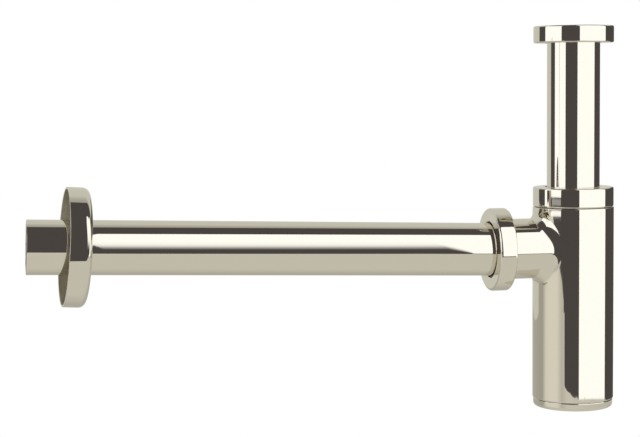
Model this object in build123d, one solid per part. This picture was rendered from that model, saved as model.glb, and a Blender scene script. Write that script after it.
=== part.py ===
from build123d import *
import os

# Bottle trap for a bidet, hung from its inlet thread. Millimetres. The origin is the centre of the
# inlet thread's upper end, just inside the nut's mouth. +Z points up out of the mouth, and the outlet
# pipe runs towards -X.

# Waste tube and pipe
pipe_radius = 16.0
pipe_wall = 1.2
end_break = 0.4

# G 1 1/4 thread on both unions and the inlet: plain walls at the pitch radius
thread_over_pipe = 4.215
thread_clearance = 0.05
thread_lead_in = 0.8

# Inlet union
inlet_nut_wall = 4.035
inlet_nut_height = 10.3
inlet_nut_lip = 1.8
inlet_nut_round = 1.0
tube_flange_clearance = 0.965
tube_flange_thickness = 1.6
inlet_washer_thickness = 2.0
inlet_washer_hole_clearance = 0.4
thread_relief_depth = 0.7
thread_relief_gap = 0.3

# Heights of the bottle, measured from the axis of its outlet
outlet_depth = 134.2
shoulder_height = 25.1
collar_nut_height = 11.95
body_bottom_depth = 92.9
tube_dip = 62.0

# Bottle body
body_shoulder = 4.435
body_wall = 2.55
body_roof = 2.6
body_top_round = 0.5
body_bottom_round = 0.8
neck_height = 7.9
neck_bore_clearance = 0.6

# Branch, with the threaded end that carries the outlet nut
branch_wall = 1.3
branch_root_fillet = 2.0
branch_bore_clearance = 1.0
branch_stop_reach = 3.35
branch_reach = 24.35
branch_thread_length = 5.1

# Collar nut
collar_nut_wall = 4.255
collar_nut_lip = 2.2
collar_nut_round = 1.0
collar_nut_seat_gap = 0.15
lip_bore_clearance = 0.75
lip_bore_break = 0.5

# Rubber cones and the slip rings over them
seal_back_wall = 3.2
seal_front_wall = 1.2
seal_length = 3.6
seal_grip_clearance = 0.05
slip_ring_thickness = 1.0
slip_ring_thread_clearance = 0.665
slip_ring_play = 0.05
slip_ring_bore_clearance = 0.9
collar_seal_gap = 0.3
collar_seat_offset = 0.35

# Outlet union
outlet_nut_wall = 4.885
outlet_nut_length = 10.8
outlet_nut_overlap = 0.9
outlet_nut_lip = 2.0
outlet_nut_round = 1.5
outlet_lip_bore_clearance = 1.05
outlet_seal_gap = 0.95
outlet_seat_offset = 0.65

# Outlet pipe: it tips a little in its rubber cone, and rises towards the wall
pipe_tilt = 1.925
pipe_end_gap = 0.6
pipe_reach = 331.0

# Base cap
cap_setback = 0.45
cap_thickness = 4.9
cap_edge_round = 2.0
cap_thread_step = 0.3
cap_thread_length = 8.4
cap_ring_wall = 2.6
cap_floor = 3.7
cap_neck_relief = 1.05
cap_neck_height = 2.3
cap_slot_length = 26.0
cap_slot_width = 3.2
cap_slot_depth = 1.8
cap_seat_gap = 0.1
cap_seal_section = 0.85
cap_seal_clearance = 0.1
cap_seal_room = 0.15

# Wall flange, a spun cup with a grooved neck for its rubber ring
flange_radius = 34.8
flange_depth = 13.0
flange_wall = 1.2
flange_front_round = 4.0
flange_neck_length = 7.0
flange_neck_wall = 1.0
flange_bore_clearance = 0.95
flange_setback = 21.7
flange_yaw = 2.86
flange_roll = 2.06
flange_ring_section = 1.8
flange_ring_clearance = 0.3
flange_groove_play = 0.15
flange_groove_setback = 1.6

# Radii that follow from the sizes above
pipe_bore = pipe_radius - pipe_wall
thread_radius = pipe_radius + thread_over_pipe
thread_male = thread_radius - thread_clearance
thread_female = thread_radius + thread_clearance
inlet_nut_radius = thread_radius + inlet_nut_wall
collar_nut_radius = thread_radius + collar_nut_wall
outlet_nut_radius = thread_radius + outlet_nut_wall
tube_flange_radius = thread_female - tube_flange_clearance
inlet_washer_hole = pipe_bore + inlet_washer_hole_clearance
seal_back_radius = pipe_radius + seal_back_wall
seal_front_radius = pipe_radius + seal_front_wall
slip_ring_radius = thread_female - slip_ring_thread_clearance
slip_ring_bore = pipe_radius + slip_ring_bore_clearance
branch_radius = pipe_radius + branch_bore_clearance + branch_wall
body_radius = thread_radius + body_shoulder
body_inner_radius = body_radius - body_wall
cap_radius = body_radius - cap_setback
cap_thread_radius = body_inner_radius + cap_thread_step
cap_cup_radius = cap_thread_radius - cap_ring_wall
cap_neck_radius = cap_thread_radius - cap_neck_relief
cap_seal_radius = cap_neck_radius + cap_seal_clearance + cap_seal_section

# Heights that follow, measured from the origin
inlet_nut_top_z = thread_lead_in
inlet_nut_bottom_z = inlet_nut_top_z - inlet_nut_height
tube_flange_low_z = inlet_nut_bottom_z + inlet_nut_lip
tube_flange_high_z = tube_flange_low_z + tube_flange_thickness
inlet_washer_high_z = tube_flange_high_z + inlet_washer_thickness
outlet_z = -outlet_depth
shoulder_z = outlet_z + shoulder_height
neck_top_z = shoulder_z + neck_height
collar_nut_bottom_z = shoulder_z + collar_nut_seat_gap
collar_nut_top_z = collar_nut_bottom_z + collar_nut_height
body_bottom_z = outlet_z - body_bottom_depth
cap_top_z = body_bottom_z - cap_seat_gap
cap_bottom_z = cap_top_z - cap_thickness
tube_end_z = outlet_z - tube_dip

# Along the branch, outwards from the bottle's axis
branch_stop = body_radius + branch_stop_reach
branch_thread_end = body_radius + branch_reach
branch_thread_start = branch_thread_end - branch_thread_length
outlet_nut_start = branch_thread_start - outlet_nut_overlap
outlet_nut_end = outlet_nut_start + outlet_nut_length
outlet_slip_back = outlet_nut_end - outlet_nut_lip - slip_ring_play
outlet_slip_front = outlet_slip_back - slip_ring_thickness
outlet_seal_back = outlet_slip_front - outlet_seal_gap
outlet_seal_centre = outlet_seal_back - seal_length / 2
pipe_inner_end = branch_stop + pipe_end_gap
flange_rim_reach = pipe_reach - flange_setback

# Up the neck, from the outlet's axis
collar_slip_back = collar_nut_top_z - collar_nut_lip - slip_ring_play
collar_slip_front = collar_slip_back - slip_ring_thickness
collar_seal_back = collar_slip_front - collar_seal_gap

# Local +Z of these frames points outwards along the branch, and along the tipped pipe
on_branch = Pos(0, 0, outlet_z) * Rot(0, -90, 0)
on_pipe = Pos(-outlet_seal_centre, 0, outlet_z) * Rot(0, -90 + pipe_tilt, 0)
flange_ring_radius = pipe_radius + flange_ring_section + flange_ring_clearance
flange_groove_width = 2 * (flange_ring_section + flange_groove_play)
flange_ring_depth = flange_depth - flange_groove_setback - flange_groove_width / 2
ring_reach = flange_rim_reach - outlet_seal_centre - flange_ring_depth
on_flange = on_pipe * Pos(0, 0, ring_reach) * Rot(flange_yaw, flange_roll, 0)


def outline(*points):
    """Flat face from (radius, height) points, in the plane that is turned about the axis."""
    return make_face(Polyline(*points, close=True))


def rounded(face, radius, *corners):
    """The same face with the named corners rounded."""
    chosen = [face.vertices().sort_by_distance((r, h, 0))[0] for r, h in corners]
    return fillet(chosen, radius)


def bevelled(face, length, *corners):
    """The same face with the named corners bevelled."""
    chosen = [face.vertices().sort_by_distance((r, h, 0))[0] for r, h in corners]
    return chamfer(chosen, length)


def turned(face):
    """Solid of revolution about Z."""
    return revolve(Plane.XZ * face, Axis.Z)


def ring(inner, outer, low, high):
    return turned(outline((inner, low), (outer, low), (outer, high), (inner, high)))


def cone_radius_at(distance_from_back):
    """Outer radius of a rubber cone this far in front of its back face."""
    slope = (seal_back_radius - seal_front_radius) / seal_length
    return seal_back_radius - distance_from_back * slope


def seat_radius_at(distance_from_back, offset):
    return cone_radius_at(distance_from_back) + offset


def seat_depth_of(radius, offset):
    """How far in front of the rubber cone's back face its seat has narrowed to this radius."""
    slope = (seal_back_radius - seal_front_radius) / seal_length
    return (seal_back_radius + offset - radius) / slope


def rubber_cone(back):
    """Compression ring: a cylinder inside, a cone outside that narrows away from its back face."""
    grip = pipe_radius + seal_grip_clearance
    front = back - seal_length
    face = outline((grip, front), (seal_front_radius, front), (seal_back_radius, back), (grip, back))
    return turned(rounded(face, end_break, (seal_front_radius, front), (seal_back_radius, back)))


def union_nut(radius, low, high, lip, lip_bore, edge_round):
    """Smooth round nut: female thread from its low end, and a lip at its high end."""
    face = outline(
        (thread_female, low), (radius, low), (radius, high), (lip_bore, high),
        (lip_bore, high - lip), (thread_female, high - lip),
    )
    face = rounded(face, edge_round, (radius, low), (radius, high))
    face = bevelled(face, thread_lead_in, (thread_female, low))
    face = bevelled(face, lip_bore_break, (lip_bore, high))
    return turned(face)


def inlet_nut():
    """The thread faces up. A relief under it holds the washer and the tube's flange on the lip."""
    low, high = inlet_nut_bottom_z, inlet_nut_top_z
    relief_top = inlet_washer_high_z + thread_relief_gap
    relief_radius = thread_female + thread_relief_depth
    lip_bore = pipe_radius + lip_bore_clearance
    face = outline(
        (lip_bore, low), (inlet_nut_radius, low), (inlet_nut_radius, high), (thread_female, high),
        (thread_female, relief_top), (relief_radius, relief_top),
        (relief_radius, tube_flange_low_z), (lip_bore, tube_flange_low_z),
    )
    face = rounded(face, inlet_nut_round, (inlet_nut_radius, low), (inlet_nut_radius, high))
    face = bevelled(face, thread_lead_in, (thread_female, high))
    face = bevelled(face, lip_bore_break, (lip_bore, low))
    return turned(face)


def inlet_tube():
    """Drawn tube with a flange turned out at its top."""
    low, high = tube_flange_low_z, tube_flange_high_z
    face = outline(
        (pipe_bore, tube_end_z), (pipe_radius, tube_end_z), (pipe_radius, low),
        (tube_flange_radius, low), (tube_flange_radius, high), (pipe_bore, high),
    )
    face = rounded(face, end_break, (tube_flange_radius, low), (pipe_bore, high))
    face = bevelled(face, end_break, (pipe_radius, tube_end_z))
    return turned(face)


def inlet_washer():
    return ring(inlet_washer_hole, tube_flange_radius, tube_flange_high_z, inlet_washer_high_z)


def collar_nut():
    return union_nut(
        collar_nut_radius, collar_nut_bottom_z, collar_nut_top_z, collar_nut_lip,
        pipe_radius + lip_bore_clearance, collar_nut_round,
    )


def collar_slip_ring():
    return ring(slip_ring_bore, slip_ring_radius, collar_slip_front, collar_slip_back)


def collar_seal():
    return rubber_cone(collar_seal_back)


def bottle_skin():
    """Outer form: body, threaded neck, branch and its threaded end, joined by a fillet."""
    body = outline(
        (0, body_bottom_z), (body_radius, body_bottom_z), (body_radius, shoulder_z),
        (thread_male, shoulder_z), (thread_male, neck_top_z), (0, neck_top_z),
    )
    body = rounded(body, body_bottom_round, (body_radius, body_bottom_z))
    body = rounded(body, body_top_round, (body_radius, shoulder_z))
    branch = turned(outline(
        (0, 0), (branch_radius, 0), (branch_radius, branch_thread_start), (0, branch_thread_start),
    ))
    joined = turned(body) + on_branch * branch
    root = [e for e in joined.edges() if e.geom_type not in (GeomType.LINE, GeomType.CIRCLE)]
    joined = fillet(root, branch_root_fillet)
    thread_end = outline(
        (0, branch_thread_start), (thread_male, branch_thread_start),
        (thread_male, branch_thread_end), (0, branch_thread_end),
    )
    low_corner = (thread_male, branch_thread_start)
    high_corner = (thread_male, branch_thread_end)
    thread_end = bevelled(thread_end, end_break, low_corner, high_corner)
    return joined + on_branch * turned(thread_end)


def bottle_room():
    """Hollow of the bottle: wide chamber, seat for the cap's seal and thread, neck bore and cone seat."""
    neck_bore = pipe_radius + neck_bore_clearance
    roof_z = shoulder_z - body_roof
    thread_top = body_bottom_z + cap_neck_height + cap_thread_length
    seal_room_radius = cap_seal_radius + cap_seal_section + cap_seal_room
    cap_female = cap_thread_radius + thread_clearance
    seat_low = collar_seal_back - seat_depth_of(neck_bore, collar_seat_offset)
    seat_mouth = seat_radius_at(collar_seal_back - neck_top_z, collar_seat_offset)
    room = outline(
        (0, body_bottom_z), (seal_room_radius, body_bottom_z),
        (seal_room_radius, body_bottom_z + cap_neck_height), (cap_female, body_bottom_z + cap_neck_height),
        (cap_female, thread_top), (body_inner_radius, thread_top),
        (body_inner_radius, roof_z), (neck_bore, roof_z),
        (neck_bore, seat_low), (seat_mouth, neck_top_z), (0, neck_top_z),
    )
    return turned(room)


def branch_room():
    """Bore of the branch: narrow to the stop, then wide enough for the tipped pipe, then the cone seat."""
    wide = pipe_radius + branch_bore_clearance
    seat_low = outlet_seal_back - seat_depth_of(wide, outlet_seat_offset)
    seat_mouth = seat_radius_at(outlet_seal_back - branch_thread_end, outlet_seat_offset)
    room = outline(
        (0, 0), (pipe_bore, 0), (pipe_bore, branch_stop), (wide, branch_stop),
        (wide, seat_low), (seat_mouth, branch_thread_end), (0, branch_thread_end),
    )
    return on_branch * turned(room)


def bottle_body():
    return bottle_skin() - bottle_room() - branch_room()


def base_cap():
    """Plug with a rounded foot, a threaded ring round a shallow cup, and a coin slot below."""
    thread_low = body_bottom_z + cap_neck_height
    thread_top = thread_low + cap_thread_length
    cap_male = cap_thread_radius - thread_clearance
    cup_floor = cap_bottom_z + cap_floor
    face = outline(
        (0, cap_bottom_z), (cap_radius, cap_bottom_z), (cap_radius, cap_top_z),
        (cap_neck_radius, cap_top_z), (cap_neck_radius, thread_low), (cap_male, thread_low),
        (cap_male, thread_top), (cap_cup_radius, thread_top), (cap_cup_radius, cup_floor), (0, cup_floor),
    )
    face = rounded(face, cap_edge_round, (cap_radius, cap_bottom_z))
    face = rounded(face, end_break, (cap_radius, cap_top_z))
    face = bevelled(face, end_break, (cap_male, thread_top))
    slot_face = SlotOverall(cap_slot_length, cap_slot_width)
    slot = Pos(0, 0, cap_bottom_z) * extrude(slot_face, cap_slot_depth)
    return turned(face) - slot


def base_cap_seal():
    height = body_bottom_z + cap_neck_height / 2
    return Pos(0, 0, height) * Torus(cap_seal_radius, cap_seal_section)


def outlet_nut():
    nut = union_nut(
        outlet_nut_radius, outlet_nut_start, outlet_nut_end, outlet_nut_lip,
        pipe_radius + outlet_lip_bore_clearance, outlet_nut_round,
    )
    return on_branch * nut


def outlet_slip_ring():
    return on_branch * ring(slip_ring_bore, slip_ring_radius, outlet_slip_front, outlet_slip_back)


def outlet_seal():
    """Tipped with the pipe about its own centre."""
    return on_pipe * rubber_cone(seal_length / 2)


def outlet_pipe():
    inner_end = pipe_inner_end - outlet_seal_centre
    outer_end = pipe_reach - outlet_seal_centre
    face = outline(
        (pipe_bore, inner_end), (pipe_radius, inner_end), (pipe_radius, outer_end), (pipe_bore, outer_end),
    )
    face = bevelled(face, end_break, (pipe_radius, inner_end), (pipe_radius, outer_end))
    return on_pipe * turned(face)


def wall_flange():
    """Cup open towards the wall. Heights run from the ring's middle towards the wall."""
    rim = flange_ring_depth
    front = rim - flange_depth
    inside = front + flange_wall
    bore = pipe_radius + flange_bore_clearance
    groove_radius = flange_ring_radius + flange_ring_section + flange_groove_play
    neck_radius = groove_radius + flange_neck_wall
    neck_end = front + flange_neck_length
    half_groove = flange_groove_width / 2
    face = outline(
        (bore, front), (flange_radius, front), (flange_radius, rim), (flange_radius - flange_wall, rim),
        (flange_radius - flange_wall, inside), (neck_radius, inside), (neck_radius, neck_end),
        (bore, neck_end), (bore, half_groove), (groove_radius, half_groove),
        (groove_radius, -half_groove), (bore, -half_groove),
    )
    face = rounded(face, flange_front_round, (flange_radius, front))
    face = rounded(face, flange_front_round - flange_wall, (flange_radius - flange_wall, inside))
    face = rounded(face, end_break, (bore, front))
    return on_flange * turned(face)


def wall_flange_ring():
    return on_flange * Torus(flange_ring_radius, flange_ring_section)


nodes = {
    "inlet_nut": inlet_nut,
    "inlet_washer": inlet_washer,
    "inlet_tube": inlet_tube,
    "collar_nut": collar_nut,
    "collar_slip_ring": collar_slip_ring,
    "collar_seal": collar_seal,
    "bottle_body": bottle_body,
    "base_cap": base_cap,
    "base_cap_seal": base_cap_seal,
    "outlet_nut": outlet_nut,
    "outlet_slip_ring": outlet_slip_ring,
    "outlet_seal": outlet_seal,
    "outlet_pipe": outlet_pipe,
    "wall_flange": wall_flange,
    "wall_flange_ring": wall_flange_ring,
}

os.makedirs("parts", exist_ok=True)
for name, make in nodes.items():
    export_step(make(), f"parts/{name}.step")
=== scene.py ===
import math
import bmesh
import bpy
import numpy as np
from mathutils import Matrix, Vector


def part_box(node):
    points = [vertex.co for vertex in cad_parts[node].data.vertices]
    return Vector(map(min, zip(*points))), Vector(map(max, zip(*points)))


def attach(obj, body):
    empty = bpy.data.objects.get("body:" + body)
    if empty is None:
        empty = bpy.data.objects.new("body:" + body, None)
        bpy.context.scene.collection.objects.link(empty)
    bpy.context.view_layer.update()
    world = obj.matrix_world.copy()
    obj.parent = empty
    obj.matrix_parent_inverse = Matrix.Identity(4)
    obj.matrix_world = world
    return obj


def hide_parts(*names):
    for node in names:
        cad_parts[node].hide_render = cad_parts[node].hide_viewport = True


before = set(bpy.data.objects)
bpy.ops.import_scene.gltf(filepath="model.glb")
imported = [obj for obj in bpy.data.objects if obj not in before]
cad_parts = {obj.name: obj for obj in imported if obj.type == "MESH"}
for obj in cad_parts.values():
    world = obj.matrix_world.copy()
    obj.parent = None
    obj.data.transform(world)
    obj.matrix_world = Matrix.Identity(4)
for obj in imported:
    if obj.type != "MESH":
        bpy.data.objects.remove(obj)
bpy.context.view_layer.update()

# Sizes are in millimetres until a mesh is made, and the origin is the inlet thread's upper end.
mm = 0.001
scene = bpy.context.scene

# How finely turned shapes are stepped. arcStep is for the rounds, fineStep for those under the radius fine,
# guard is how far from a round its guard points stand, and perPitch is the rows in one pitch of a thread.
around = {"columns": 240, "arcStep": math.radians(9), "fineStep": math.radians(18), "fine": 0.21, "fewest": 3,
          "guard": 0.12, "perPitch": 10, "ringSteps": 24}
joining = {"doubles": 0.002, "slivers": 0.001}  # how near points are joined, and how short edges go
helix = {"flatten": 1.25, "wall": 0.02}  # how flat crests and roots are cut, and how near the wall counts


def boxOf(node):
    low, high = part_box(node)
    return np.array(low) / mm, np.array(high) / mm


def placed(x, y, z, *turns):
    # A move and then intrinsic turns, each given as (axis letter, degrees).
    matrix = Matrix.Translation((x, y, z))
    for axis, angle in turns:
        matrix = matrix @ Matrix.Rotation(math.radians(angle), 4, axis)
    return matrix


def softOutline(corners, closed=True):
    # Corners are (radius, height, round, rows). Each round is an arc touching both sides, stepped by
    # arcStep, or by fineStep under a radius of fine, with a guard point just before and after it. rows
    # splits the side after the corner evenly.
    points = []
    count = len(corners)
    ends = []
    for i in range(count):
        here = np.array(corners[i][:2], float)
        soft = corners[i][2] if len(corners[i]) > 2 else 0.0
        first, last = not closed and i == 0, not closed and i == count - 1
        if first or last or soft <= 0:
            ends.append((here[None], here, here))
            continue
        before = np.array(corners[i - 1][:2], float) - here
        after = np.array(corners[(i + 1) % count][:2], float) - here
        lengthBefore, lengthAfter = np.hypot(*before), np.hypot(*after)
        before, after = before / lengthBefore, after / lengthAfter
        half = 0.5 * math.acos(float(np.clip(before @ after, -1, 1)))
        reach = soft / math.tan(half)
        centre = here + (before + after) / np.hypot(*(before + after)) * soft / math.sin(half)
        start, stop = here + before * reach, here + after * reach
        step = around["fineStep"] if soft < around["fine"] else around["arcStep"]
        steps = max(around["fewest"], int(math.ceil((math.pi - 2 * half) / step)))
        t = np.linspace(0, 1, steps + 1)[:, None]
        sweep = math.pi - 2 * half
        u, v = start - centre, stop - centre
        arc = centre + (np.sin((1 - t) * sweep) * u + np.sin(t * sweep) * v) / math.sin(sweep)
        guard = around["guard"]
        if lengthBefore > reach + 2 * guard:
            arc = np.vstack([start + before * guard, arc])
        if lengthAfter > reach + 2 * guard:
            arc = np.vstack([arc, stop + after * guard])
        ends.append((arc, arc[0], arc[-1]))
    for i in range(count):
        points.append(ends[i][0])
        rows = corners[i][3] if len(corners[i]) > 3 else 1
        if rows > 1 and (closed or i < count - 1):
            t = np.arange(1, rows)[:, None] / rows
            points.append(ends[i][2] + (ends[(i + 1) % count][1] - ends[i][2]) * t)
    return np.vstack(points)


def helixWave(height, angle, pitch):
    # Triangle wave of height / pitch - angle / full turn: +1 on a crest, -1 in a root.
    phase = height / pitch - angle / (2 * math.pi)
    return 1 - 4 * np.abs(phase - np.floor(phase) - 0.5)


def threaded(radius, height, angle, thread):
    # The radius moves by depth / 2 times the wave, cut flat at the crest and root, and fades past both ends.
    low, high = thread["from"], thread["to"]
    share = np.clip(np.minimum(height - low, high - height) / thread["fade"] + 1, 0, 1)
    on = np.abs(radius - thread["radius"]) < helix["wall"]
    wave = np.clip(helix["flatten"] * helixWave(height, angle, thread["pitch"]), -1, 1)
    return radius + on * share * (thread["shift"] + thread["depth"] / 2 * wave)


def turnedGrid(outline, columns, threads=()):
    # x = r cos a, y = r sin a, z = h, for the outline's radius r and height h and the angle a.
    angle = np.arange(columns)[None, :] * 2 * math.pi / columns
    radius, height = outline[:, 0:1] + 0 * angle, outline[:, 1:2] + 0 * angle
    for thread in threads:
        radius = threaded(radius, height, angle, thread)
    return np.stack([radius * np.cos(angle), radius * np.sin(angle), height], -1)


def gridQuads(rows, columns, closedRows):
    # Vertex row * columns + column, joined to the next column and the next row.
    i = np.arange(rows if closedRows else rows - 1)[:, None]
    j = np.arange(columns)[None, :]
    a, b = i * columns + j, i * columns + (j + 1) % columns
    below = (i + 1) % rows * columns
    return np.stack([a, b, below + (j + 1) % columns, below + j], -1).reshape(-1, 4)


def meshFrom(name, points, quads, place, material, normals=None):
    # The points go through the place and into metres. Double points are joined and normals point outwards.
    matrix = np.array(place)
    points = points.reshape(-1, 3) @ matrix[:3, :3].T + matrix[:3, 3]
    used = np.unique(quads)
    renumber = np.full(len(points), -1)
    renumber[used] = np.arange(len(used))
    mesh = bpy.data.meshes.new(name)
    mesh.from_pydata((points[used] * mm).tolist(), [], renumber[quads].tolist())
    shell = bmesh.new()
    shell.from_mesh(mesh)
    bmesh.ops.remove_doubles(shell, verts=shell.verts, dist=joining["doubles"] * mm)
    bmesh.ops.dissolve_degenerate(shell, edges=shell.edges, dist=joining["slivers"] * mm)
    bmesh.ops.recalc_face_normals(shell, faces=shell.faces)
    shell.to_mesh(mesh)
    shell.free()
    mesh.polygons.foreach_set("use_smooth", np.ones(len(mesh.polygons), bool))
    mesh.materials.append(material)
    piece = bpy.data.objects.new(name, mesh)
    scene.collection.objects.link(piece)
    if normals is not None:
        corrected(piece, normals)
    return piece


def vertexPlaces(mesh):
    flat = np.empty(len(mesh.vertices) * 3, np.float32)
    mesh.vertices.foreach_get("co", flat)
    return flat.reshape(-1, 3).astype(float) / mm


def corrected(piece, exactNormals):
    # Shading normals: the mesh's own, except where exactNormals gives the true surface's.
    mesh = piece.data
    flat = np.empty(len(mesh.vertices) * 3, np.float32)
    mesh.vertex_normals.foreach_get("vector", flat)
    normals = exactNormals(vertexPlaces(mesh), flat.reshape(-1, 3).astype(float))
    mesh.normals_split_custom_set_from_vertices(normals.tolist())


def finished(piece, body, slot, *nodes):
    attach(piece, body)
    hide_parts(*nodes)
    print("made", piece.name, len(piece.data.polygons), "faces")
    return piece


def turnedPiece(name, corners, place, material, threads=()):
    outline = softOutline(corners)
    grid = turnedGrid(outline, around["columns"], threads)
    quads = gridQuads(len(outline), around["columns"], True)
    return meshFrom(name, grid, quads, place, material)


def emptyMaterial(name):
    material = bpy.data.materials.new(name)
    material.use_nodes = True
    return material, material.node_tree.nodes, material.node_tree.links


def spanned(nodes, links, source, given, wanted):
    # The source value brought from the given range to the wanted one.
    span = nodes.new("ShaderNodeMapRange")
    span.inputs["From Min"].default_value, span.inputs["From Max"].default_value = given
    span.inputs["To Min"].default_value, span.inputs["To Max"].default_value = wanted
    links.new(source, span.inputs["Value"])
    return span.outputs["Result"]


def noiseTo(nodes, links, look, wanted, target):
    # A noise on Object coordinates, brought to the wanted range and led to one socket.
    place, noise = nodes.new("ShaderNodeTexCoord"), nodes.new("ShaderNodeTexNoise")
    noise.inputs["Scale"].default_value, noise.inputs["Detail"].default_value = look["scale"], look["detail"]
    links.new(place.outputs["Object"], noise.inputs["Vector"])
    links.new(spanned(nodes, links, noise.outputs["Fac"], noiseSpread, wanted), target)


noiseSpread = (0.3, 0.7)
nickelLook = {"colour": (0.80, 0.77, 0.69, 1), "metal": 1.0, "roughness": (0.015, 0.04), "scale": 22.0,
              "detail": 3.0}
satinLook = {"colour": (0.74, 0.71, 0.62, 1), "metal": 1.0, "roughness": (0.30, 0.38), "scale": 60.0,
             "detail": 2.0}
rubberLook = {"colour": (0.022, 0.022, 0.024, 1), "metal": 0.0, "roughness": (0.5, 0.68), "scale": 900.0,
              "detail": 2.0, "bump": 0.25, "bumpDepth": 0.2}
nylonLook = {"colour": (0.70, 0.68, 0.61, 1), "metal": 0.0, "roughness": (0.34, 0.46), "scale": 300.0,
             "detail": 2.0, "bump": 0.1, "bumpDepth": 0.2}


def surfaceFinish(name, look):
    # One colour with a cloudy roughness, and a fine grain where the look has a bump.
    material, nodes, links = emptyMaterial(name)
    shader = nodes["Principled BSDF"]
    shader.inputs["Base Color"].default_value = look["colour"]
    shader.inputs["Metallic"].default_value = look["metal"]
    noiseTo(nodes, links, look, look["roughness"], shader.inputs["Roughness"])
    if "bump" in look:
        grain = nodes.new("ShaderNodeBump")
        grain.inputs["Strength"].default_value = look["bump"]
        grain.inputs["Distance"].default_value = look["bumpDepth"] * mm
        noiseTo(nodes, links, look, (0.0, 1.0), grain.inputs["Height"])
        links.new(grain.outputs["Normal"], shader.inputs["Normal"])
    return material


nickel = surfaceFinish("polishedNickel", nickelLook)
satin = surfaceFinish("satinNickel", satinLook)
rubber = surfaceFinish("blackRubber", rubberLook)
nylon = surfaceFinish("whiteNylon", nylonLook)
print("finishes ready")

# Sizes that several pieces share, and where the branch, the pipe and the flange lie.
unionThread = {"radius": 20.215, "clearance": 0.05, "pitch": 2.309, "depth": 1.48, "apart": 0.06, "fade": 0.6}
sideOut, sideIn = 1, -1
capScrew = {"pitch": 1.5, "depth": 0.8, "apart": 0.05, "fadeInside": 0.6, "fadeOutside": 0.4}
tubing = {"radius": 16.0, "wall": 1.2}
outletAxis = {"z": -134.2, "tilt": 1.925, "sealCentre": 48.0}
upright = placed(0, 0, 0)
onBranch = placed(0, 0, outletAxis["z"], ("Y", -90))
onPipe = placed(-outletAxis["sealCentre"], 0, outletAxis["z"], ("Y", -90 + outletAxis["tilt"]))
pipeBore = tubing["radius"] - tubing["wall"]
femaleRadius = unionThread["radius"] + unionThread["clearance"]
maleRadius = unionThread["radius"] - unionThread["clearance"]


def screwed(form, radius, side, low, high, fade):
    # A thread on one wall, moved out or in from the pitch radius, so that it stays apart from its mate.
    return {"radius": radius, "from": low, "to": high, "fade": fade, "pitch": form["pitch"],
            "shift": side * form["apart"], "depth": form["depth"]}


def femaleThread(low, high):
    return screwed(unionThread, femaleRadius, sideOut, low, high, unionThread["fade"])


def maleThread(low, high):
    return screwed(unionThread, maleRadius, sideIn, low, high, unionThread["fade"])


def threadRows(length, form=unionThread):
    return int(math.ceil(length / form["pitch"] * around["perPitch"]))


# In every outline below, a corner's third value is its round and its fourth the rows along the next side.
inletUnion = {"edge": 1.0, "lip": 1.8, "leadIn": 0.8, "relief": 0.7, "gap": 0.3, "lipBore": 16.75,
              "lipBreak": 0.5, "tubeFlange": 1.6, "washer": 2.0, "washerHole": 15.2, "washerSoft": 0.25,
              "threadGap": 0.3, "threadRunOut": 0.2}


def inletNut():
    low, high = boxOf("inlet_nut")
    bottom, top, outer = low[2], high[2], high[0]
    u = inletUnion
    reliefTop = bottom + u["lip"] + u["tubeFlange"] + u["washer"] + u["gap"]
    reliefRadius = femaleRadius + u["relief"]
    threadTop = top - u["leadIn"]
    corners = [
        (u["lipBore"], bottom + u["lipBreak"], 0.08), (u["lipBore"] + u["lipBreak"], bottom, 0.08),
        (outer, bottom, u["edge"]), (outer, top, u["edge"]), (femaleRadius + u["leadIn"], top, 0.12),
        (femaleRadius, threadTop, 0.0, threadRows(threadTop - reliefTop)),
        (femaleRadius, reliefTop, 0.08), (reliefRadius, reliefTop, 0.08),
        (reliefRadius, bottom + u["lip"], 0.15), (u["lipBore"], bottom + u["lip"], 0.08),
    ]
    cut = femaleThread(reliefTop + u["threadGap"], threadTop - u["threadRunOut"])
    return turnedPiece("inletNut", corners, upright, nickel, [cut])


def inletTube():
    low, high = boxOf("inlet_tube")
    flange, flangeLow = high[0], high[2] - inletUnion["tubeFlange"]
    corners = [
        (pipeBore, low[2], 0.2), (tubing["radius"], low[2], 0.35), (tubing["radius"], flangeLow, 0.45),
        (flange, flangeLow, 0.35), (flange, high[2], 0.35), (pipeBore, high[2], 0.5),
    ]
    return turnedPiece("inletTube", corners, upright, nickel)


def flatRing(name, hole, outer, low, high, soft, place, material):
    # A square section with soft corners, turned round the axis.
    corners = [(hole, low, soft), (outer, low, soft), (outer, high, soft), (hole, high, soft)]
    return turnedPiece(name, corners, place, material)


def inletWasher():
    low, high = boxOf("inlet_washer")
    return flatRing("inletWasher", inletUnion["washerHole"], high[0], low[2], high[2],
                    inletUnion["washerSoft"], upright, rubber)


finished(inletNut(), "inlet_nut", "nickel", "inlet_nut")
finished(inletTube(), "inlet_tube", "nickel", "inlet_tube")
finished(inletWasher(), "inlet_washer", "rubber", "inlet_washer")

bottleShape = {
    "inner": 22.1, "roof": 2.6, "shoulder": 25.1, "neck": 7.9, "topRound": 0.5, "bottomRound": 0.8,
    "neckBore": 16.6, "capNeck": 2.3, "capThread": 8.4, "sealRoom": 23.3, "capFemale": 22.45,
    "neckThread": (1.2, 0.5), "capThreadEnds": (0.4, 0.8),
    "windowHeight": 23.2, "windowColumns": 54, "windowRows": 30, "wallRows": 8,
}
branchShape = {
    "radius": 18.3, "crestFillet": 2.0, "sideFillet": 13.0, "sideOnset": 1.6, "stop": 28.0,
    "threadStart": 43.9, "threadLength": 5.1, "threadEnds": (0.9, 0.5), "skinRun": 10, "wideBore": 17.0,
    "boreRun": 3, "boreRows": 4, "innerRound": 0.4, "patchRows": 7, "patchSpread": 1.3, "filletRows": 18,
    "innerEvery": 3,
}
cone = {"back": 19.2, "front": 17.2, "length": 3.6, "grip": 16.05, "collarSeat": 0.35, "outletSeat": 0.65}

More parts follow.
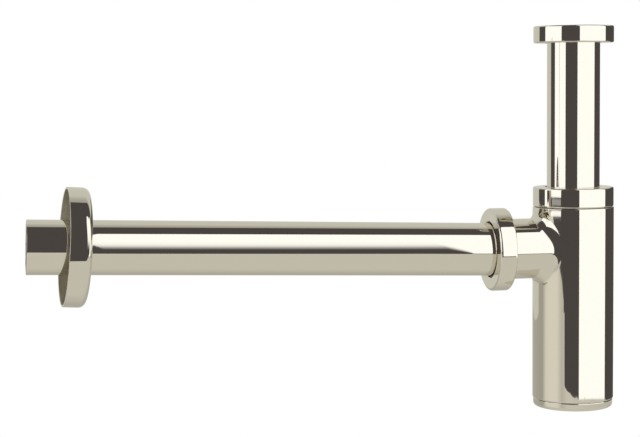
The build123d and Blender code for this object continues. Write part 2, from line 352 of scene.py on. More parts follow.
# Where a vertex counts as lying on the wall, the branch's skin or the blend, for the true shading normals.
surfaceReach = {"wall": 0.004, "ends": 0.01, "skinFrom": 15, "skinShort": 0.15, "blend": (12, 29),
                "offSkin": 0.01, "offWall": 0.005, "blendHit": 1e-4, "batch": 400, "step": 1e-4}


def seatDepth(offset, radius):
    # How far in front of the cone's back its seat has narrowed to this radius.
    return (cone["back"] + offset - radius) / ((cone["back"] - cone["front"]) / cone["length"])


def seatRadius(offset, depth):
    # The seat's radius this far in front of the cone's back.
    return cone["back"] + offset - depth * (cone["back"] - cone["front"]) / cone["length"]


def rootSoftness(angle):
    # The casting's blend is tight over and under the branch and grows towards its sides.
    s = branchShape
    return s["crestFillet"] + (s["sideFillet"] - s["crestFillet"]) * np.abs(np.sin(angle)) ** s["sideOnset"]


def rootArc(bodyRadius, pipeRadius, softness, angle, share):
    # A ball of radius softness(angle) sits in the corner of two crossed cylinders. Its centre is that far
    # from both, and the arc swings round it from the body's side (share 0) to the branch's side (share 1).
    soft = softness(angle)
    reach = pipeRadius + soft
    centre = np.stack([
        reach * np.cos(angle), reach * np.sin(angle),
        np.sqrt((bodyRadius + soft) ** 2 - (reach * np.sin(angle)) ** 2),
    ], -1)
    soft = soft[..., None]
    toBody = -centre * np.array([0, 1, 1]) / (bodyRadius + soft)
    toBranch = -np.stack([np.cos(angle), np.sin(angle), 0 * angle], -1)
    between = np.arccos(np.clip((toBody * toBranch).sum(-1, keepdims=True), -1, 1))
    swing = (np.sin((1 - share) * between) * toBody + np.sin(share * between) * toBranch) / np.sin(between)
    return centre + soft * swing, -swing


def rootNormals(bodyRadius, pipeRadius, softness, angle, share):
    # True normals of the blend: square to a small step along the arc and a small step round the branch.
    step = surfaceReach["step"]

    def spot(turn, swing):
        return rootArc(bodyRadius, pipeRadius, softness, angle + turn, share + swing)

    along = spot(0, step)[0] - spot(0, -step)[0]
    circling = spot(step, 0)[0] - spot(-step, 0)[0]
    normal = np.cross(circling, along)
    normal /= np.linalg.norm(normal, axis=-1, keepdims=True)
    return normal * np.sign((normal * spot(0, 0)[1]).sum(-1, keepdims=True))


def onCylinder(across, radius):
    # A point given as seen along the branch, (up, side), set back onto the body's cylinder.
    return np.stack([across[..., 0], across[..., 1], np.sqrt(radius ** 2 - across[..., 1] ** 2)], -1)


def bottleOutline(bodyLow, bodyRadius):
    b = bottleShape
    axis = outletAxis["z"]
    shoulder = axis + b["shoulder"]
    neckTop = shoulder + b["neck"]
    sealBack = boxOf("collar_seal")[1][2]
    seatLow = sealBack - seatDepth(cone["collarSeat"], b["neckBore"])
    seatMouth = seatRadius(cone["collarSeat"], sealBack - neckTop)
    window = b["windowHeight"]
    innerWindow = window * b["inner"] / bodyRadius
    threadLow = bodyLow + b["capNeck"]
    threadHigh = threadLow + b["capThread"]
    rows, wallRows = b["windowRows"], b["wallRows"]
    return [
        (bodyRadius, bodyLow, b["bottomRound"], wallRows), (bodyRadius, axis - window, 0.0, rows),
        (bodyRadius, axis + window, 0.0), (bodyRadius, shoulder, b["topRound"]),
        (maleRadius, shoulder, 0.1, threadRows(b["neck"])), (maleRadius, neckTop, 0.3),
        (seatMouth, neckTop, 0.15), (b["neckBore"], seatLow, 0.1), (b["neckBore"], shoulder - b["roof"], 0.2),
        (b["inner"], shoulder - b["roof"], 0.6), (b["inner"], axis + innerWindow, 0.0, rows),
        (b["inner"], axis - innerWindow, 0.0, wallRows), (b["inner"], threadHigh, 0.1),
        (b["capFemale"], threadHigh, 0.1, threadRows(b["capThread"], capScrew)),
        (b["capFemale"], threadLow, 0.1), (b["sealRoom"], threadLow, 0.15), (b["sealRoom"], bodyLow, 0.2),
    ]


def rowAt(outline, radius, height):
    return int(np.argmin(np.hypot(outline[:, 0] - radius, outline[:, 1] - height)))


def windowLoop(outline, radius, halfHeight, columns):
    # The vertices round a window in the wall: along its low row, up, back along its high row and down.
    b = bottleShape
    lowRow = rowAt(outline, radius, outletAxis["z"] - halfHeight)
    highRow = rowAt(outline, radius, outletAxis["z"] + halfHeight)
    middle, half = columns // 2, b["windowColumns"]
    step = 1 if highRow > lowRow else -1
    rows = np.arange(lowRow, highRow + step, step)
    across = np.arange(middle - half, middle + half + 1)
    loopRows = np.concatenate([np.full(len(across), lowRow), rows[1:-1],
                               np.full(len(across), highRow), rows[-2:0:-1]])
    loopColumns = np.concatenate([across, np.full(len(rows) - 2, across[-1]),
                                  across[::-1], np.full(len(rows) - 2, across[0])])
    return loopRows * columns + loopColumns, sorted((lowRow, highRow)), (across[0], across[-1])


def branchOutline():
    # Along the branch: skin out to the thread, over the mouth, down the cone seat and in to the stop.
    s = branchShape
    sealBack = outletAxis["sealCentre"] + cone["length"] / 2
    threadEnd = -boxOf("bottle_body")[0][0]
    seatLow = sealBack - seatDepth(cone["outletSeat"], s["wideBore"])
    seatMouth = seatRadius(cone["outletSeat"], sealBack - threadEnd)
    start = s["threadStart"]
    return softOutline([
        (s["radius"], start - s["skinRun"]), (s["radius"], start, 0.1),
        (maleRadius, start, 0.35, threadRows(s["threadLength"])), (maleRadius, threadEnd, 0.35),
        (seatMouth, threadEnd, 0.15), (s["wideBore"], seatLow, 0.1, s["boreRows"]),
        (s["wideBore"], s["stop"], 0.15), (pipeBore, s["stop"], 0.2), (pipeBore, s["stop"] - s["boreRun"]),
    ], closed=False)


def bottleBody():
    low, high = boxOf("bottle_body")
    bodyRadius, bodyLow = high[0], low[2]
    b, s = bottleShape, branchShape
    columns = around["columns"]
    axis = outletAxis["z"]
    outline = softOutline(bottleOutline(bodyLow, bodyRadius))
    neckLow = axis + b["shoulder"]
    capThreadLow = bodyLow + b["capNeck"]
    neckStart, neckEnd = b["neckThread"]
    capStart, capEnd = b["capThreadEnds"]
    threads = [
        maleThread(neckLow + neckStart, high[2] - neckEnd),
        screwed(capScrew, b["capFemale"], sideOut, capThreadLow + capStart,
                capThreadLow + b["capThread"] - capEnd, capScrew["fadeInside"]),
    ]
    shell = turnedGrid(outline, columns, threads).reshape(-1, 3)
    quads = gridQuads(len(outline), columns, True)
    outerLoop, outerRows, span = windowLoop(outline, bodyRadius, b["windowHeight"], columns)
    innerHeight = b["windowHeight"] * b["inner"] / bodyRadius
    innerLoop, innerRows, _ = windowLoop(outline, b["inner"], innerHeight, columns)
    row, column = quads[:, 0] // columns, quads[:, 0] % columns
    inSpan = (column >= span[0]) & (column < span[1])
    cut = np.zeros(len(quads), bool)
    for first, last in (outerRows, innerRows):
        cut |= inSpan & (row >= first) & (row < last)
    quads = quads[~cut]

    # The branch's own frame: up, side and outwards from the bottle's axis.
    def fromWorld(points):
        return np.stack([points[:, 2] - axis, points[:, 1], -points[:, 0]], -1)

    outer, inner = fromWorld(shell[outerLoop]), fromWorld(shell[innerLoop])
    angle = np.arctan2(outer[:, 1], outer[:, 0])
    ring = angle[None, :]

    def patch(edge, contact, radius):
        share = np.linspace(0, 1, s["patchRows"] + 1)[1:-1, None, None] ** s["patchSpread"]
        return onCylinder(edge[None, :, :2] * (1 - share) + contact[None, :, :2] * share, radius)

    def innerSoftness(angle):
        return s["innerRound"] + 0 * angle

    share = np.linspace(0, 1, s["filletRows"] + 1)[:, None, None]
    fillet = rootArc(bodyRadius, s["radius"], rootSoftness, ring, share)[0]
    filletNormals = rootNormals(bodyRadius, s["radius"], rootSoftness, ring, share[1:-1])
    innerArc = rootArc(b["inner"], pipeBore, innerSoftness, ring, share[::s["innerEvery"]])[0]
    along = branchOutline()
    radius, distance = along[:, 0:1] + 0 * ring, along[:, 1:2] + 0 * ring
    threadIn, threadOut = s["threadEnds"]
    radius = threaded(radius, distance, ring, maleThread(s["threadStart"] + threadIn, -low[0] - threadOut))
    tube = np.stack([radius * np.cos(ring), radius * np.sin(ring), distance], -1)
    rings = np.concatenate([
        patch(outer, fillet[0], bodyRadius), fillet, tube, innerArc[::-1],
        patch(inner, innerArc[0], b["inner"])[::-1],
    ])
    count = rings.shape[1]
    local = rings.reshape(-1, 3)
    world = np.stack([-local[:, 2], local[:, 1], local[:, 0] + axis], -1)
    base = len(shell)
    ringQuads = gridQuads(len(rings), count, False) + base
    k = np.arange(count)
    following = (k + 1) % count
    lastRing = base + (len(rings) - 1) * count
    toOuter = np.stack([outerLoop[k], outerLoop[following], base + following, base + k], -1)
    toInner = np.stack([lastRing + k, lastRing + following, innerLoop[following], innerLoop[k]], -1)
    allQuads = np.concatenate([quads, toOuter, ringQuads, toInner])

    def exact(points, normals):
        # True normals: straight out from the body's axis, straight out from the branch's axis, and the
        # blend's own between them.
        spot, reach = fromWorld(points), surfaceReach
        ring = np.hypot(spot[:, 0], spot[:, 1])
        across = np.hypot(points[:, 0], points[:, 1])
        onBody = np.abs(across - bodyRadius) < reach["wall"]
        onBody &= points[:, 2] > bodyLow + b["bottomRound"] - reach["ends"]
        onBody &= points[:, 2] < axis + b["shoulder"] - b["topRound"] + reach["ends"]
        wall = points[onBody]
        normals[onBody] = np.stack([wall[:, 0], wall[:, 1], 0 * wall[:, 0]], -1) / bodyRadius
        onSkin = (np.abs(ring - s["radius"]) < reach["wall"]) & (spot[:, 2] > reach["skinFrom"])
        onSkin &= spot[:, 2] < s["threadStart"] - reach["skinShort"]
        skin = spot[onSkin]
        normals[onSkin] = np.stack([0 * skin[:, 0], skin[:, 1], skin[:, 0]], -1) / s["radius"]
        bend = filletNormals.reshape(-1, 3)
        place = fillet[1:-1].reshape(-1, 3)
        blendIn, blendOut = reach["blend"]
        outside = (ring > s["radius"] + reach["offSkin"]) & (across > bodyRadius + reach["offWall"])
        near = np.flatnonzero((spot[:, 2] > blendIn) & (spot[:, 2] < blendOut) & outside)
        for start in range(0, len(near), reach["batch"]):
            some = near[start:start + reach["batch"]]
            gap = ((spot[some, None, :] - place[None, :, :]) ** 2).sum(-1)
            best = gap.argmin(1)
            hit = gap[np.arange(len(some)), best] < reach["blendHit"]
            chosen = bend[best[hit]]
            normals[some[hit]] = np.stack([-chosen[:, 2], chosen[:, 1], chosen[:, 0]], -1)
        return normals

    return meshFrom("bottleBody", np.concatenate([shell, world]), allQuads, upright, nickel, exact)


finished(bottleBody(), "bottle", "nickel", "bottle_body")

roundNut = {"collarLip": 2.2, "outletLip": 2.0, "collarBore": 16.75, "outletBore": 17.05, "lipBreak": 0.5,
            "leadIn": 0.8, "collarEdge": 1.0, "outletEdge": 1.5, "threadGap": 0.2, "threadRunOut": 1.9}
slipRing = {"bore": 16.9, "outer": 19.6, "soft": 0.2}


def unionNut(name, outer, low, high, lip, bore, edge, place):
    # A round nut: its thread opens at low, and the lip with the bore closes it at high.
    r = roundNut
    inside = high - lip
    corners = [
        (femaleRadius + r["leadIn"], low, 0.12), (outer, low, edge), (outer, high, edge),
        (bore + r["lipBreak"], high, 0.12), (bore, high - r["lipBreak"], 0.12), (bore, inside, 0.08),
        (femaleRadius, inside, 0.15, threadRows(inside - low - r["leadIn"])),
        (femaleRadius, low + r["leadIn"], 0.0),
    ]
    cut = femaleThread(low + r["leadIn"] + r["threadGap"], inside - r["threadRunOut"])
    return turnedPiece(name, corners, place, nickel, [cut])


def coneSeal(name, back, place):
    # A rubber cone round a straight grip, with its wide back at this height.
    front = back - cone["length"]
    corners = [(cone["grip"], front, 0.25), (cone["front"], front, 0.4), (cone["back"], back, 0.4),
               (cone["grip"], back, 0.25)]
    return turnedPiece(name, corners, place, rubber)


def collarPieces():
    low, high = boxOf("collar_nut")
    nut = unionNut("collarNut", high[0], low[2], high[2], roundNut["collarLip"], roundNut["collarBore"],
                   roundNut["collarEdge"], upright)
    ringLow, ringHigh = boxOf("collar_slip_ring")
    ring = flatRing("collarSlipRing", slipRing["bore"], slipRing["outer"], ringLow[2], ringHigh[2],
                    slipRing["soft"], upright, nylon)
    seal = coneSeal("collarSeal", boxOf("collar_seal")[1][2], upright)
    finished(nut, "collar_nut", "nickel", "collar_nut")
    finished(ring, "collar_slip_ring", "slip_ring", "collar_slip_ring")
    finished(seal, "collar_seal", "rubber", "collar_seal")


def outletPieces():
    low, high = boxOf("outlet_nut")
    nut = unionNut("outletNut", high[1], -high[0], -low[0], roundNut["outletLip"], roundNut["outletBore"],
                   roundNut["outletEdge"], onBranch)
    ringLow, ringHigh = boxOf("outlet_slip_ring")
    ring = flatRing("outletSlipRing", slipRing["bore"], slipRing["outer"], -ringHigh[0], -ringLow[0],
                    slipRing["soft"], onBranch, nylon)
    seal = coneSeal("outletSeal", cone["length"] / 2, onPipe)
    finished(nut, "outlet_nut", "nickel", "outlet_nut")
    finished(ring, "outlet_slip_ring", "slip_ring", "outlet_slip_ring")
    finished(seal, "outlet_seal", "rubber", "outlet_seal")


collarPieces()
outletPieces()

capShape = {"edge": 2.0, "topRound": 0.4, "thickness": 4.9, "neck": 21.35, "male": 22.35, "cup": 19.8,
            "floor": 3.7, "seatGap": 0.1, "flatRim": 17.0, "threadEnds": 0.5}
coinSlot = {"length": 26.0, "width": 3.2, "depth": 1.8, "soft": 0.3, "guard": 0.1, "margin": 1.2, "core": 0.4,
            "endColumns": 24, "bendSteps": 6, "apronSteps": 5}


def baseCap():
    low, high = boxOf("base_cap")
    c = capShape
    bottom, top, outer = low[2], high[2], high[0]
    rim = bottom + c["thickness"]
    threadLow = rim + c["seatGap"] + bottleShape["capNeck"]
    profile = softOutline([
        (0.0, bottom + c["floor"]), (c["cup"], bottom + c["floor"], 1.2), (c["cup"], top, 0.3),
        (c["male"], top, 0.3, threadRows(top - threadLow, capScrew)), (c["male"], threadLow, 0.1),
        (c["neck"], threadLow, 0.15), (c["neck"], rim, 0.2), (outer, rim, c["topRound"]),
        (outer, bottom, c["edge"]), (c["flatRim"], bottom),
    ], closed=False)
    columns = around["columns"]
    cut = screwed(capScrew, c["male"], sideIn, threadLow + c["threadEnds"], top - c["threadEnds"],
                  capScrew["fadeOutside"])
    turned = turnedGrid(profile, columns, [cut])

    # The coin slot: a line with round ends, offset outwards from its middle line, then down its wall and in
    # over its floor to the middle line again. way is the offset's direction, going once round. An apron of
    # rows joins the cap's flat rim to the slot.
    s = coinSlot
    half, width = s["length"] / 2 - s["width"] / 2, s["width"] / 2
    end, side = s["endColumns"], columns // 2 - 2 * s["endColumns"]
    stops = np.cumsum([0, end, side, 2 * end, side, end])
    k = np.arange(columns)
    middle = np.interp(k, stops, [half, half, -half, -half, half, half])
    way = np.radians(np.interp(k, stops, [0, 90, 90, 270, 270, 360]))
    soft, guard, deep = s["soft"], s["guard"], s["depth"]
    bend = np.radians(np.linspace(0, 90, s["bendSteps"]))
    offsets = np.concatenate([[width + s["margin"], width + soft + guard], width + soft * (1 - np.sin(bend)),
                              [width, width], width - soft * (1 - np.cos(bend)), [width * s["core"], 0.0]])
    depths = np.concatenate([[0, 0], soft * (1 - np.cos(bend)), [soft + guard, deep - soft - guard],
                             deep - soft * (1 - np.sin(bend)), [deep] * 2])
    slot = np.stack([middle[None] + offsets[:, None] * np.cos(way)[None],
                     offsets[:, None] * np.sin(way)[None],
                     (bottom + depths)[:, None] + 0 * way[None]], -1)
    share = np.linspace(0, 1, s["apronSteps"])[1:-1, None, None]
    apron = turned[-1][None] * (1 - share) + slot[0][None] * share
    grid = np.concatenate([turned, apron, slot])
    return meshFrom("baseCap", grid, gridQuads(len(grid), columns, False), upright, nickel)


def roundRing(name, centreRadius, section, height, place, material):
    # A ring with a round section: its radius and height go once round a circle.
    steps = around["ringSteps"]
    t = np.arange(steps) * 2 * math.pi / steps
    outline = np.stack([centreRadius + section * np.cos(t), height + section * np.sin(t)], -1)
    grid = turnedGrid(outline, around["columns"])
    return meshFrom(name, grid, gridQuads(steps, around["columns"], True), place, material)


def baseCapSeal():
    low, high = boxOf("base_cap_seal")
    section = (high[2] - low[2]) / 2
    return roundRing("baseCapSeal", high[0] - section, section, (low[2] + high[2]) / 2, upright, rubber)


finished(baseCap(), "base_cap", "nickel", "base_cap")
finished(baseCapSeal(), "base_cap_seal", "rubber", "base_cap_seal")

pipeEnds = {"inner": 28.6, "outer": 331.0}
flangeShape = {
    "radius": 34.8, "depth": 13.0, "wall": 1.2, "frontRound": 4.0, "neckLength": 7.0, "neckWall": 1.0,
    "bore": 16.95, "rimReach": 309.3, "yaw": 2.86, "roll": 2.06, "ringSection": 1.8, "ringRadius": 18.1,
    "groovePlay": 0.15, "grooveBack": 1.6, "satinPast": (0.02, 0.1),
}
halfGroove = flangeShape["ringSection"] + flangeShape["groovePlay"]
ringDepth = flangeShape["depth"] - flangeShape["grooveBack"] - halfGroove
ringReach = flangeShape["rimReach"] - outletAxis["sealCentre"] - ringDepth
onFlange = onPipe @ placed(0, 0, ringReach, ("X", flangeShape["yaw"]), ("Y", flangeShape["roll"]))


def outletPipe():
    inner = pipeEnds["inner"] - outletAxis["sealCentre"]
    outer = pipeEnds["outer"] - outletAxis["sealCentre"]
    corners = [(pipeBore, inner, 0.2), (tubing["radius"], inner, 0.35), (tubing["radius"], outer, 0.3),
               (pipeBore, outer, 0.25)]
    return turnedPiece("outletPipe", corners, onPipe, nickel)


def wallFlange():
    f = flangeShape
    front = ringDepth - f["depth"]
    rim, inside = ringDepth, front + f["wall"]
    groove = f["ringRadius"] + f["ringSection"] + f["groovePlay"]
    neck, neckEnd = groove + f["neckWall"], front + f["neckLength"]
    corners = [
        (f["bore"], front, 0.4), (f["radius"], front, f["frontRound"]), (f["radius"], rim, 0.25),
        (f["radius"] - f["wall"], rim, 0.25), (f["radius"] - f["wall"], inside, f["frontRound"] - f["wall"]),
        (neck, inside, 0.5), (neck, neckEnd, 0.25), (f["bore"], neckEnd, 0.2), (f["bore"], halfGroove, 0.15),
        (groove, halfGroove, 0.3), (groove, -halfGroove, 0.3), (f["bore"], -halfGroove, 0.15),
    ]
    flange = turnedPiece("wallFlange", corners, onFlange, nickel)

    # The hollow side keeps the satin of the spinning under its plating.
    flange.data.materials.append(satin)
    floorPast, wallPast = f["satinPast"]
    toFlange = np.array(onFlange.inverted())
    for face in flange.data.polygons:
        spot = toFlange[:3, :3] @ (np.array(face.center) / mm) + toFlange[:3, 3]
        hollow = math.hypot(spot[0], spot[1]) < f["radius"] - f["wall"] + wallPast
        hidden = spot[2] > inside - floorPast and hollow
        face.material_index = 1 if hidden else 0
    return flange


def wallFlangeRing():
    f = flangeShape
    return roundRing("wallFlangeRing", f["ringRadius"], f["ringSection"], 0.0, onFlange, rubber)


finished(outletPipe(), "outlet_pipe", "nickel", "outlet_pipe")
finished(wallFlange(), "wall_flange", "nickel", "wall_flange")
finished(wallFlangeRing(), "wall_flange_ring", "rubber", "wall_flange_ring")

# Place, lens and sensor in millimetres, angles in radians, and what the camera sees from and to in metres.
cameraView = {"place": (-349.43, -963.43, -30.73), "yaw": 0.1959, "pitch": 0.0831, "roll": 0.0098,
              "lens": 93.22, "sensor": 36.0, "clip": (0.05, 40.0)}


def photoCamera():
    v = cameraView
    ahead = Vector((math.sin(v["yaw"]) * math.cos(v["pitch"]), math.cos(v["yaw"]) * math.cos(v["pitch"]),
                    -math.sin(v["pitch"])))
    level = Vector((math.cos(v["yaw"]), -math.sin(v["yaw"]), 0))
    upward = level.cross(ahead)
    right = math.cos(v["roll"]) * level - math.sin(v["roll"]) * upward
    top = math.sin(v["roll"]) * level + math.cos(v["roll"]) * upward
    data = bpy.data.cameras.new("photoCamera")
    data.lens, data.sensor_width = v["lens"], v["sensor"]
    data.clip_start, data.clip_end = v["clip"]
    camera = bpy.data.objects.new("photoCamera", data)
    turn = Matrix((right, top, -ahead)).transposed().to_4x4()
    camera.matrix_world = Matrix.Translation(Vector(v["place"]) * mm) @ turn
    scene.collection.objects.link(camera)
    scene.camera = camera


photoCamera()
print("camera ready")

# The tones that the metal sees, and the studio's axes as x and y of the object.
studio = {
    "white": 1.28, "grey": 0.38, "dark": (0.081, 0.072, 0.070), "beige": (0.69, 0.67, 0.595),
    "wall": (0.66, 0.65, 0.585), "floorHeight": -425.0,
    "towardsCamera": (-0.341, -0.940), "rightOfCamera": (0.940, -0.341),
}


def studioSpot(forward, right, height):
    # forward is from the bottle towards the camera, right is to the camera's right, all in millimetres.
    c, r = studio["towardsCamera"], studio["rightOfCamera"]
    return (forward * c[0] + right * r[0], forward * c[1] + right * r[1], height)


def bearing(degrees, distance, height):
    # A spot seen from the bottle at this angle to the right of the camera.
    a = math.radians(degrees)
    return studioSpot(distance * math.cos(a), distance * math.sin(a), height)


def unlit(name):
    # A material without a shader: its nodes, its links and the output's socket.
    material, nodes, links = emptyMaterial(name)
    nodes.remove(nodes["Principled BSDF"])
    return material, nodes, links, nodes["Material Output"].inputs["Surface"]


def objectPlace(nodes, links):
    # The Object coordinate as a vector, and its y alone.
    place, apart = nodes.new("ShaderNodeTexCoord"), nodes.new("ShaderNodeSeparateXYZ")
    links.new(place.outputs["Object"], apart.inputs["Vector"])
    return place.outputs["Object"], apart.outputs["Y"]


def glow(name, colour, strength=1.0, fade=None):
    # Plain light. With fade, it is dimmer at the near edge: it grows from the share low at y = near to all
    # of its strength at y = far.
    material, nodes, links, surface = unlit(name)
    light = nodes.new("ShaderNodeEmission")
    light.inputs["Color"].default_value = (*colour, 1)
    light.inputs["Strength"].default_value = strength
    links.new(light.outputs["Emission"], surface)
    if fade:
        near, far, low = fade
        depth = objectPlace(nodes, links)[1]
        grown = spanned(nodes, links, depth, (near * mm, far * mm), (low * strength, strength))
        links.new(grown, light.inputs["Strength"])
    return material


def stageMesh(name, points, faces, material):
    # One mesh of the studio, from points in millimetres.
    mesh = bpy.data.meshes.new(name)
    mesh.from_pydata([tuple(c * mm for c in point) for point in points], [], faces)
    mesh.materials.append(material)
    sheet = bpy.data.objects.new(name, mesh)
    scene.collection.objects.link(sheet)
    return sheet


def card(name, edges, material):
    # A sheet from edge to edge, each a low and a high point, seen in reflections and not by the camera.
    faces = [(2 * i, 2 * i + 2, 2 * i + 3, 2 * i + 1) for i in range(len(edges) - 1)]
    stageMesh(name, [point for edge in edges for point in edge], faces, material).visible_camera = False


floorTones = {"near": 0.95, "behind": 0.70, "behindReach": 250, "nearReach": 700, "farReach": 1100,
              "brightest": 1.25, "byBearing": ((-180, 0.75), (-95, 0.6), (-82, 1.1), (-70, 1.15), (-45, 1.15),
                                               (-30, 0.8), (-15, 1.0), (180, 0.8))}

# The floor's edge: corners as (forward, right), and an arc from behind round the right-hand side. arc is its
# first bearing, its end and its step, and the distances hold at the bearings beside them.
floorEdge = {
    "corners": ((1053, 233), (1096, -135), (1063, -441), (1708, -731), (1952, -1152), (1967, -1376),
                (2000, -4000), (-4000, -4000), (-4000, 560)),
    "arc": (172, 16, -5), "arcBearings": (17, 57, 101, 120, 172),
    "arcDistances": (1063, 1063, 1052, 1030, 1030),
}


def floorTone(nodes, links):
    # How light the floor is in the metal: even near the object and dimmer behind it, and farther out a
    # soft ramp round the object, by the angle from the camera's side.
    f, whole = floorTones, (0.0, 1.0)
    place, depth = objectPlace(nodes, links)
    sides = []
    for way in ("rightOfCamera", "towardsCamera"):
        along = nodes.new("ShaderNodeVectorMath")
        along.operation = "DOT_PRODUCT"
        along.inputs[1].default_value = (*studio[way], 0)
        links.new(place, along.inputs[0])
        sides.append(along.outputs["Value"])
    angle, ramp = nodes.new("ShaderNodeMath"), nodes.new("ShaderNodeValToRGB")
    angle.operation = "ARCTAN2"
    links.new(sides[0], angle.inputs[0])
    links.new(sides[1], angle.inputs[1])
    links.new(spanned(nodes, links, angle.outputs["Value"], (-math.pi, math.pi), whole), ramp.inputs["Fac"])
    stops = ramp.color_ramp.elements
    for i, (degrees, tone) in enumerate(f["byBearing"]):
        spot = (degrees + 180) / 360
        if i == 0 or i == len(f["byBearing"]) - 1:
            stop = stops[0 if i == 0 else -1]
            stop.position = spot
        else:
            stop = stops.new(spot)
        stop.color = (tone / f["brightest"],) * 3 + (1,)
    far, reach = nodes.new("ShaderNodeMath"), nodes.new("ShaderNodeVectorMath")
    choose = nodes.new("ShaderNodeMix")
    far.operation, reach.operation = "MULTIPLY", "LENGTH"
    links.new(ramp.outputs["Color"], far.inputs[0])
    far.inputs[1].default_value = f["brightest"]
    links.new(place, reach.inputs[0])
    out = spanned(nodes, links, reach.outputs["Value"], (f["nearReach"] * mm, f["farReach"] * mm), whole)
    near = spanned(nodes, links, depth, (0.0, f["behindReach"] * mm), (f["near"], f["behind"]))
    links.new(out, choose.inputs["Factor"])
    links.new(near, choose.inputs["A"])
    links.new(far.outputs["Value"], choose.inputs["B"])
    return choose.outputs["Result"]


def studioFloor():
    # To the camera the floor is plain white; the metal sees it warm grey. From below it is clear.
    material, nodes, links, surface = unlit("paleFloor")
    path, side = nodes.new("ShaderNodeLightPath"), nodes.new("ShaderNodeNewGeometry")
    tone = nodes.new("ShaderNodeMix")
    tone.data_type = "RGBA"
    shade = nodes.new("ShaderNodeVectorMath")
    shade.operation = "SCALE"
    shade.inputs[0].default_value = studio["beige"]
    links.new(floorTone(nodes, links), shade.inputs["Scale"])
    links.new(shade.outputs["Vector"], tone.inputs["A"])
    tone.inputs["B"].default_value = (1, 1, 1, 1)
    light, clear = nodes.new("ShaderNodeEmission"), nodes.new("ShaderNodeBsdfTransparent")
    choose = nodes.new("ShaderNodeMixShader")
    links.new(path.outputs["Is Camera Ray"], tone.inputs["Factor"])
    links.new(tone.outputs["Result"], light.inputs["Color"])
    links.new(side.outputs["Backfacing"], choose.inputs["Fac"])
    links.new(light.outputs["Emission"], choose.inputs[1])
    links.new(clear.outputs["BSDF"], choose.inputs[2])
    links.new(choose.outputs["Shader"], surface)
    z, edge = studio["floorHeight"], floorEdge
    turns = np.arange(*edge["arc"])
    reach = np.interp(turns, edge["arcBearings"], edge["arcDistances"])
    points = [studioSpot(forward, right, z) for forward, right in edge["corners"]]
    points += [bearing(turn, distance, z) for turn, distance in zip(turns, reach)]
    floor = stageMesh("studioFloor", points, [tuple(range(len(points)))], material)
    if floor.data.polygons[0].normal.z < 0:
        floor.data.flip_normals()


def fadingBlack():
    # Black as far as the sheet's own cover attribute says, and clear for the rest.
    material, nodes, links, surface = unlit("fadingBlack")
    cover = nodes.new("ShaderNodeAttribute")
    cover.attribute_name = "cover"
    black, clear = nodes.new("ShaderNodeEmission"), nodes.new("ShaderNodeBsdfTransparent")
    black.inputs["Color"].default_value = (*studio["dark"], 1)
    choose = nodes.new("ShaderNodeMixShader")
    links.new(cover.outputs["Fac"], choose.inputs["Fac"])
    links.new(clear.outputs["BSDF"], choose.inputs[1])
    links.new(black.outputs["Emission"], choose.inputs[2])
    links.new(choose.outputs["Shader"], surface)
    return material


# The flag in front of the pipe: three upright edges as (x, y, heights), with one cover for each height.
pipeFlag = {
    "cover": (1.0, 1.0, 0.7, 0.23, 0.07, 0.0),
    "left": (-284, -285, (-226, -137, -102, -60, -19, 53)),
    "middle": (-37, -179, (-179, -122, -98, -70, -42, 8)),
    "right": (-22, -172, (-175, -171, -168, -166, -164, -161)),
}

# White cards with straight edges, each edge a low and a high point: one on the right, from just beside the
# camera, and one overhead in front of the pipe.
straightCards = {
    "softboxRight": (((-110, -2800, -762), (-75, -2800, 1480)), ((491, -1806, -579), (491, -1806, 1480)),
                     ((1500, -185, -518), (1500, -185, 1480))),
    "softboxOver": (((-75, -2800, 1480), (-150, -790, 1480)), ((500, -2800, 1480), (500, -608, 1480)),
                    ((1900, -2800, 1480), (1900, -608, 1480))),
}

# Cards curved round the left: first and last bearing, number of edges, distance, low and high end. The dark
# bar and the grey patch stand before the softbox's foot.
curvedCards = {
    "softboxLeft": (-87, -34, 12, 1300, -219, 900),
    "darkBar": (-66, -33, 8, 1250, -207, -189.5),
    "greyPatch": (-62, -34.5, 8, 1245, -200, -191.5),
}

# The backdrop on the left and behind, by bearing and distance, and over the back, by its near edge's x and y.
backdrop = {
    "ends": ((-114, 1800), (172, 3000)), "low": -425, "high": 1400, "farEdge": 3200, "fade": (411, 900, 0.68),
    "nearEdge": ((-3000, 411), (-420, 411), (-270, 230), (-200, 230), (500, 411), (3000, 411)),
}

# Black flags close to the wall flange: their left edge, and their right edge's (height, x).
flangeFlag = {"y": -45, "left": -314, "right": ((-134, -291.5), (-90, -291.5), (-60, -286.5), (0, -268))}


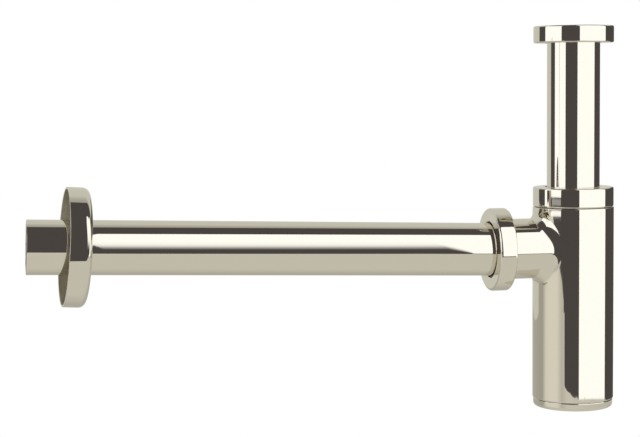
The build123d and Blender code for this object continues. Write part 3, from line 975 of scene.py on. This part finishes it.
def gradedFlag():
    f = pipeFlag
    edges = [f["left"], f["middle"], f["right"]]
    count = len(f["cover"])
    points = [(x, y, z) for x, y, heights in edges for z in heights]
    faces = [(e * count + k, (e + 1) * count + k, (e + 1) * count + k + 1, e * count + k + 1)
             for e in range(len(edges) - 1) for k in range(count - 1)]
    sheet = stageMesh("pipeFlag", points, faces, fadingBlack())
    cover = sheet.data.attributes.new("cover", "FLOAT", "POINT")
    cover.data.foreach_set("value", list(f["cover"]) * len(edges))
    sheet.visible_camera = False


def edgesAt(spots, low, high):
    # Upright edges at these bearings and distances.
    return [(bearing(turn, distance, low), bearing(turn, distance, high)) for turn, distance in spots]


def studioLights():
    white = glow("softboxWhite", (1, 1, 1), studio["white"])
    wall = glow("backdropBeige", studio["wall"])
    black = glow("blackCard", studio["dark"])
    above = glow("backdropAbove", studio["wall"], fade=backdrop["fade"])
    grey = glow("greyCard", (1, 1, 1), studio["grey"])
    for name, edges in straightCards.items():
        card(name, edges, white)
    for name, material in (("softboxLeft", white), ("darkBar", black), ("greyPatch", grey)):
        first, last, count, distance, low, high = curvedCards[name]
        spots = [(turn, distance) for turn in np.linspace(first, last, count)]
        card(name, edgesAt(spots, low, high), material)
    low, high, far = backdrop["low"], backdrop["high"], backdrop["farEdge"]
    card("backdropWall", edgesAt(backdrop["ends"], low, high), wall)
    card("backdropOver", [((x, y, high), (x, far, high)) for x, y in backdrop["nearEdge"]], above)
    gradedFlag()
    left, y, steps = flangeFlag["left"], flangeFlag["y"], flangeFlag["right"]
    for (low, right), (high, rightAbove) in zip(steps, steps[1:]):
        edges = [((left, y, low), (left, y, high)), ((right, y, low), (rightAbove, y, high))]
        card("flangeFlag", edges, black)


def studioWorld():
    world = bpy.data.worlds.new("studioWorld")
    world.use_nodes = True
    nodes, links = world.node_tree.nodes, world.node_tree.links
    path = nodes.new("ShaderNodeLightPath")
    tone = nodes.new("ShaderNodeMix")
    tone.data_type = "RGBA"
    tone.inputs["A"].default_value = (*studio["dark"], 1)
    tone.inputs["B"].default_value = (1, 1, 1, 1)
    links.new(path.outputs["Is Camera Ray"], tone.inputs["Factor"])
    links.new(tone.outputs["Result"], nodes["Background"].inputs["Color"])
    scene.world = world


studioFloor()
studioLights()
studioWorld()
scene.view_settings.view_transform = "Standard"
print("studio ready")
